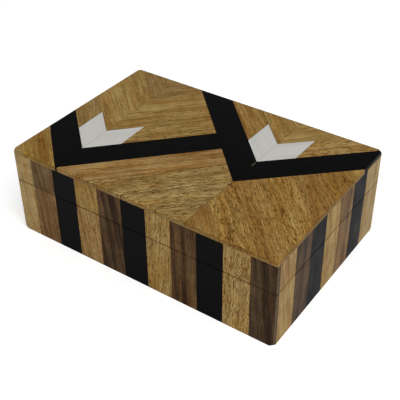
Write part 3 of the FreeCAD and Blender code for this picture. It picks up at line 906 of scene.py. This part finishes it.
# %% Strips of the top
END_ANGLE = math.radians(43.1)
MIDDLE_ANGLE = math.radians(45.75)
TOP_FIELDS = {
    "top_left_strips": (
        -END_ANGLE,
        [
            ("straw", "plain"), ("gold", "streaked"), ("tan", "plain"),
            ("olive", "plain"), ("olive", "plain"), ("tan", "plain"),
        ],
    ),
    "top_centre_strips": (
        MIDDLE_ANGLE,
        [("olive", "flecked"), ("olive", "streaked"), ("olive", "plain"), ("tan", "plain")],
    ),
    "top_front_strips": (
        MIDDLE_ANGLE,
        [("straw", "curly"), ("straw", "curly"), ("straw", "curly"), ("rose", "streaked")],
    ),
    "top_right_strips": (
        -MIDDLE_ANGLE,
        [
            ("ginger", "plain"), ("barley", "curly"), ("honey", "flecked"), ("barley", "curly"),
            ("ginger", "flecked"), ("amber", "flecked"), ("cream", "plain"),
        ],
    ),
    "top_back_strips": (-MIDDLE_ANGLE, [("honey", "streaked"), ("olive", "plain")]),
    "top_back_right_strips": (END_ANGLE, [("peach", "curly"), ("olive", "plain")]),
}


def strip_frame(angle):
    """Directions along and across a strip that lies on the top."""
    return (math.cos(angle), math.sin(angle), 0), (-math.sin(angle), math.cos(angle), 0)


for node, (angle, boards) in TOP_FIELDS.items():
    along, across = strip_frame(angle)
    mesh = sanded_copy(node, EASE)
    count = mark_strips(mesh, along, across, node, cut_from(LIGHT_TONES, boards))
    stand_for(node, mesh, light_wood)
    print(node, count, "strips,", len(boards), "boards")

# %% [markdown]
# ## Chevrons
# Each chevron is two black arms mitred at the tip, with two white halves inside. The resin has no grain,
# but its sanding marks still follow the arm, so its pieces are marked as the strips are.

# %% Chevrons
ARM_ANGLES = {
    ("left", "left"): -END_ANGLE,
    ("left", "right"): MIDDLE_ANGLE,
    ("right", "left"): -MIDDLE_ANGLE,
    ("right", "right"): END_ANGLE,
}
for (chevron, half), angle in ARM_ANGLES.items():
    along, across = strip_frame(angle)
    for kind, material, slot in (("arm", black_resin, "black_resin"), ("white", white_resin, "white_resin")):
        node = f"{chevron}_chevron_{half}_{kind}"
        mesh = sanded_copy(node, EASE)
        mark_strips(mesh, along, across, node)
        stand_for(node, mesh, material)
print("chevron pieces:", 2 * len(ARM_ANGLES))

# %% [markdown]
# ## Glue in the mitres
# A mitre is the hardest joint to close, and a fine pale line of glue shows where the chevrons' halves meet.
# Each line is a thin bar between the two halves whose top is drawn out a little wider, into the groove
# that the sanded edges leave. It is modelled along one axis first and then turned to the mitre.

# %% Glue in the mitres
GLUE_WIDTH = 0.09 * MM
GLUE_SHOULDER = 0.1 * MM
# how high each step of the groove rises, and how much wider it is than the one below
GLUE_STEPS = [(0.065 * MM, 1.75), (0.03 * MM, 1.7)]
# from a place in the black band to the notch of the white, in millimetres
MITRES = {
    "left_mitre_glue": ((-71.68, -47.3), (-72.35, -18.5)),
    "right_mitre_glue": ((44.96, 4.4), (45.74, 38.9)),
}


def lay_glue(name, start, end):
    start, end = Vector(start) * MM, Vector(end) * MM
    floor_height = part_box("lid_panel")[1].z
    shoulder = top_height - GLUE_SHOULDER
    mesh = bmesh.new()
    bmesh.ops.create_cube(mesh, size=1)
    size = ((end - start).length, GLUE_WIDTH, shoulder - floor_height)
    bmesh.ops.scale(mesh, verts=mesh.verts, vec=size)
    bmesh.ops.translate(mesh, verts=mesh.verts, vec=(0, 0, (shoulder + floor_height) / 2))
    top = [face for face in mesh.faces if face.normal.z > 0.5]
    for rise, flare in GLUE_STEPS:
        drawn = bmesh.ops.extrude_discrete_faces(mesh, faces=top)["faces"]
        corners = drawn[0].verts[:]
        bmesh.ops.translate(mesh, verts=corners, vec=(0, 0, rise))
        bmesh.ops.scale(mesh, verts=corners, vec=(1, flare, 1))
        top = drawn
    run = end - start
    bmesh.ops.rotate(mesh, verts=mesh.verts, matrix=Matrix.Rotation(math.atan2(run.y, run.x), 3, "Z"))
    middle = (start + end) / 2
    bmesh.ops.translate(mesh, verts=mesh.verts, vec=(middle.x, middle.y, 0))
    bmesh.ops.recalc_face_normals(mesh, faces=mesh.faces)
    print(name, round(run.length / MM, 1), "mm long")
    return show(name, mesh, glue, "lid")


for name, (start, end) in MITRES.items():
    lay_glue(name, start, end)

# %% [markdown]
# ## Boards and panels of the carcass
# These show when the lid is up. Long boards and panels have their grain along the box, short boards
# across it. Their edges are eased more than those of the slats, because they have no neighbour to meet.

# %% Carcass
CARCASS_TONES = [shade(168, 138, 98), shade(160, 130, 90), shade(172, 144, 106)]
BOARD_EASE = 0.3 * MM
carcass = [f"{part}_{side}_board" for part in ("base", "lid") for side in SIDE_RUNS]
carcass += ["bottom_panel", "lid_panel"]
for number, node in enumerate(carcass):
    side_to_side = "left_board" in node or "right_board" in node
    along = (0, 1, 0) if side_to_side else (1, 0, 0)
    across = (0, 1, 0) if "panel" in node else (0, 0, 1)
    mesh = sanded_copy(node, BOARD_EASE)
    tone = CARCASS_TONES[number % len(CARCASS_TONES)]
    mark_strips(mesh, along, across, node, [(tone, FIGURES["plain"])])
    stand_for(node, mesh, carcass_wood)
print("carcass pieces:", len(carcass))

# %% [markdown]
# ## Hinges
# Two small butt hinges are let into the back rims. The construction has their knuckles, pins and screws, so
# no new shape is needed. Only the edges are eased, because stamped brass is tumbled before it is brushed.

# %% Hinges
BRASS_EASE = 0.1 * MM
HINGE_PARTS = ("base_leaf", "lid_leaf", "pin")
hardware = [f"{hinge}_hinge_{part}" for hinge in ("left", "right") for part in HINGE_PARTS]
hardware += ["base_hinge_screws", "lid_hinge_screws"]
for node in hardware:
    stand_for(node, sanded_copy(node, BRASS_EASE), brass)
print("hinge pieces:", len(hardware))

# %% [markdown]
# ## Felt sheets
# One sheet of felt lies on the floor of the box and one is glued under it. A plain slab would have the
# size, but cut felt is never quite level. A sheet starts as a grid, is pulled up to its thickness, gets a
# round rim, and its top is disturbed a little.

# %% Felt sheets
FELT_CELL = 3 * MM
FELT_RIM = 0.45 * MM
FELT_UNEVEN = 0.1 * MM
FELT_WAVE = 6 * MM


def lay_felt(node):
    low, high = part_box(node)
    size = high - low
    middle = (low + high) / 2
    mesh = bmesh.new()
    bmesh.ops.create_grid(
        mesh, x_segments=round(size.x / FELT_CELL), y_segments=round(size.y / FELT_CELL), size=0.5
    )
    bmesh.ops.scale(mesh, verts=mesh.verts, vec=(size.x, size.y, 1))
    bmesh.ops.translate(mesh, verts=mesh.verts, vec=(middle.x, middle.y, low.z))
    raised = bmesh.ops.extrude_face_region(mesh, geom=mesh.faces[:], use_keep_orig=True)["geom"]
    raised = [item for item in raised if isinstance(item, bmesh.types.BMVert)]
    bmesh.ops.translate(mesh, verts=raised, vec=(0, 0, size.z))
    bmesh.ops.recalc_face_normals(mesh, faces=mesh.faces)
    rim = [edge for edge in mesh.edges if edge.calc_face_angle(0) > SHARP]
    bmesh.ops.bevel(
        mesh, geom=rim, offset=FELT_RIM, offset_type="OFFSET", affect="EDGES", segments=3, profile=0.5,
        material=-1, clamp_overlap=True,
    )
    for vertex in mesh.verts:
        if vertex.co.z > middle.z:
            vertex.co.z -= FELT_UNEVEN * (0.5 + 0.5 * noise.noise(vertex.co / FELT_WAVE))
    piece = stand_for(node, mesh, felt)
    print(piece.name, "cut to", round(size.x / MM, 1), "by", round(size.y / MM, 1), "mm")


lay_felt("floor_lining")
lay_felt("underside_felt")

# %% [markdown]
# ## Floor
# The box stands on a pale floor. More light would make it white, but bleach the box as well, so the floor
# itself is lifted towards white for the camera and in reflections, and still takes the shadow of the box.
# Below the front and right foot it is lifted further, so no hard line shows under the rounded edge. Close
# before the box it gives less light back, so the front grows darker towards the foot.

# %% Floor
FLOOR_HALF = 4.0
FLOOR_PAINT = 0.8
FLOOR_LIFT = 0.35
# the patch below the foot: its lift, its round corners, its soft border and its reach under the box
PATCH_LIFT = 0.7
PATCH_ROUND = 4 * MM
PATCH_BLUR = 0.6 * MM
PATCH_DEPTH = 12 * MM
# the floor before the box: how far and how much it is dimmed for bounced light and in reflections
FRONT_BLUR = 6 * MM
BOUNCE_REACH = 24 * MM
BOUNCE_DIM = 0.25
MIRROR_REACH = 50 * MM
MIRROR_DIM = 0.4


def seen_directly(tree):
    """One for what the camera, a reflection or glass sees, and none for light on its way round the room."""
    rays = place(tree, "ShaderNodeLightPath").outputs
    seen = calculate(tree, "MAXIMUM", rays["Is Camera Ray"], rays["Is Glossy Ray"])
    return calculate(tree, "MAXIMUM", seen, rays["Is Transmission Ray"])


def floor_lift(tree, point):
    """How far the floor is lifted to white: a little beside the box, more below its front and right foot."""
    beyond = []
    for axis, half in (("X", half_length), ("Y", half_depth)):
        past = calculate(tree, "SUBTRACT", calculate(tree, "ABSOLUTE", point[axis]), half - PATCH_ROUND)
        past = calculate(tree, "MAXIMUM", past, 0.0)
        beyond.append(calculate(tree, "MULTIPLY", past, past))
    distance = calculate(tree, "SQRT", calculate(tree, "ADD", *beyond))
    rightwards = calculate(tree, "SUBTRACT", point["X"], half_length)
    forwards = calculate(tree, "SUBTRACT", -half_depth, point["Y"])
    nearest = calculate(tree, "MAXIMUM", rightwards, forwards)
    below = spread(tree, nearest, -PATCH_DEPTH, -PATCH_DEPTH / 2, FLOOR_LIFT, PATCH_LIFT)
    lift = spread(tree, distance, PATCH_ROUND, PATCH_ROUND - PATCH_BLUR, FLOOR_LIFT, below)
    return calculate(tree, "MULTIPLY", seen_directly(tree), lift)


def open_floor(tree, point):
    """The share of its light that the floor gives back: all to the camera, less as bounce or mirrored."""
    rays = place(tree, "ShaderNodeLightPath").outputs
    ahead = calculate(tree, "SUBTRACT", -half_depth, point["Y"])
    begun = spread(tree, ahead, -FRONT_BLUR, 0.0)
    bounced = spread(tree, ahead, BOUNCE_REACH, 0.0, 0.0, BOUNCE_DIM)
    mirrored = spread(tree, ahead, MIRROR_REACH, 0.0, 0.0, MIRROR_DIM)
    dimmed = grade(tree, rays["Is Glossy Ray"], start=bounced, end=mirrored)
    dimmed = calculate(tree, "MULTIPLY", begun, dimmed)
    dimmed = grade(tree, rays["Is Camera Ray"], start=dimmed, end=0.0)
    return calculate(tree, "SUBTRACT", 1.0, dimmed)


def make_floor():
    mesh = bmesh.new()
    bmesh.ops.create_grid(mesh, x_segments=1, y_segments=1, size=FLOOR_HALF)
    data = bpy.data.meshes.new("floor")
    mesh.to_mesh(data)
    mesh.free()
    floor = bpy.data.objects.new("floor", data)
    bpy.context.scene.collection.objects.link(floor)
    material = bpy.data.materials.new("pale floor")
    material.use_nodes = True
    tree = material.node_tree
    tree.nodes.clear()
    where = place(tree, "ShaderNodeTexCoord").outputs["Object"]
    point = place(tree, "ShaderNodeSeparateXYZ", {0: where}).outputs
    share = open_floor(tree, point)
    lift = calculate(tree, "MULTIPLY", share, floor_lift(tree, point))
    paint = place(tree, "ShaderNodeBsdfDiffuse", {"Color": calculate(tree, "MULTIPLY", share, FLOOR_PAINT)})
    glow = place(tree, "ShaderNodeEmission", {"Strength": lift})
    both = place(tree, "ShaderNodeAddShader", {0: paint.outputs[0], 1: glow.outputs[0]})
    place(tree, "ShaderNodeOutputMaterial", {"Surface": both.outputs[0]})
    data.materials.append(material)
    return floor


floor = make_floor()
print("floor:", [round(side, 1) for side in floor.dimensions])

# %% [markdown]
# ## Light
# One large soft lamp stands to the right of the camera and higher, so the top, front and right side differ
# in tone, and an even sky fills the shadows. A picture of a studio could light the box too, but a plain sky
# gives the same everywhere. It looks white only low down, where it shows behind the floor.

# %% Light
SKY_LEVEL = 0.38
# the sky looks white up to the lower of these rises, and has faded to its level at the upper one
SKY_WHITE = 0.12
SKY_FADED = 0.3


def soft_lamp(name, turn, rise, distance, size, watts):
    """A square lamp that faces the box from a compass turn and a rise above the floor, in degrees."""
    turn, rise = math.radians(turn), math.radians(rise)
    back = Vector((math.sin(turn) * math.cos(rise), -math.cos(turn) * math.cos(rise), math.sin(rise)))
    data = bpy.data.lights.new(name, "AREA")
    data.size = size
    data.energy = watts
    lamp = bpy.data.objects.new(name, data)
    lamp.location = back * distance
    lamp.rotation_euler = (-back).to_track_quat("-Z", "Y").to_euler()
    bpy.context.scene.collection.objects.link(lamp)


def make_sky(level):
    """A sky that lights the box at one level all over, and looks white low down, behind the floor's rim."""
    world = bpy.data.worlds.new("soft sky")
    world.use_nodes = True
    tree = world.node_tree
    sky = tree.nodes["Background"]
    sky.inputs["Color"].default_value = (1, 1, 1, 1)
    direction = place(tree, "ShaderNodeTexCoord").outputs["Generated"]
    rise = place(tree, "ShaderNodeSeparateXYZ", {0: direction}).outputs["Z"]
    white = calculate(tree, "MULTIPLY", seen_directly(tree), spread(tree, rise, SKY_FADED, SKY_WHITE))
    strength = calculate(tree, "MAXIMUM", white, level)
    tree.links.new(strength, sky.inputs["Strength"])
    bpy.context.scene.world = world


make_sky(SKY_LEVEL)
soft_lamp("key", turn=48, rise=55, distance=3.0, size=2.2, watts=72)
bpy.context.scene.view_settings.view_transform = "Standard"
print("lamps:", len(bpy.data.lights))

# %% [markdown]
# ## Camera
# The camera stands where the picture was taken from. It could be aimed at the middle of the box, but then
# the edges of the box would lean another way. Its turn, rise, roll and distance are given instead, and a
# shift of the lens puts the box in its place in the frame.

# %% Camera
CAMERA_TURN = math.radians(34.7189)
CAMERA_RISE = math.radians(35.5625)
CAMERA_ROLL = math.radians(-0.3152)
CAMERA_DISTANCE = 646.25 * MM
CAMERA_ASIDE = 4.8 * MM
CAMERA_ABOVE = 39.17 * MM
SENSOR_WIDTH = 36
PICTURE_SIDE = 400
FOCAL_PIXELS = 811.53
PICTURE_CENTRE = (204, 180)


def make_camera():
    data = bpy.data.cameras.new("camera")
    data.sensor_width = SENSOR_WIDTH
    data.lens = SENSOR_WIDTH * FOCAL_PIXELS / PICTURE_SIDE
    data.shift_x = 0.5 - PICTURE_CENTRE[0] / PICTURE_SIDE
    data.shift_y = PICTURE_CENTRE[1] / PICTURE_SIDE - 0.5
    right = Vector((math.cos(CAMERA_TURN), math.sin(CAMERA_TURN), 0))
    level = Vector((math.sin(CAMERA_TURN), -math.cos(CAMERA_TURN), 0))
    back = level * math.cos(CAMERA_RISE) + Vector((0, 0, math.sin(CAMERA_RISE)))
    up = back.cross(right)
    rolled_right = right * math.cos(CAMERA_ROLL) + up * math.sin(CAMERA_ROLL)
    rolled_up = up * math.cos(CAMERA_ROLL) - right * math.sin(CAMERA_ROLL)
    turned = Matrix((rolled_right, rolled_up, back)).transposed()
    camera = bpy.data.objects.new("camera", data)
    camera.matrix_world = turned.to_4x4()
    camera.location = rolled_right * CAMERA_ASIDE + rolled_up * CAMERA_ABOVE + back * CAMERA_DISTANCE
    bpy.context.scene.collection.objects.link(camera)
    bpy.context.scene.camera = camera
    return camera


camera = make_camera()
print("lens in mm:", round(camera.data.lens, 2))
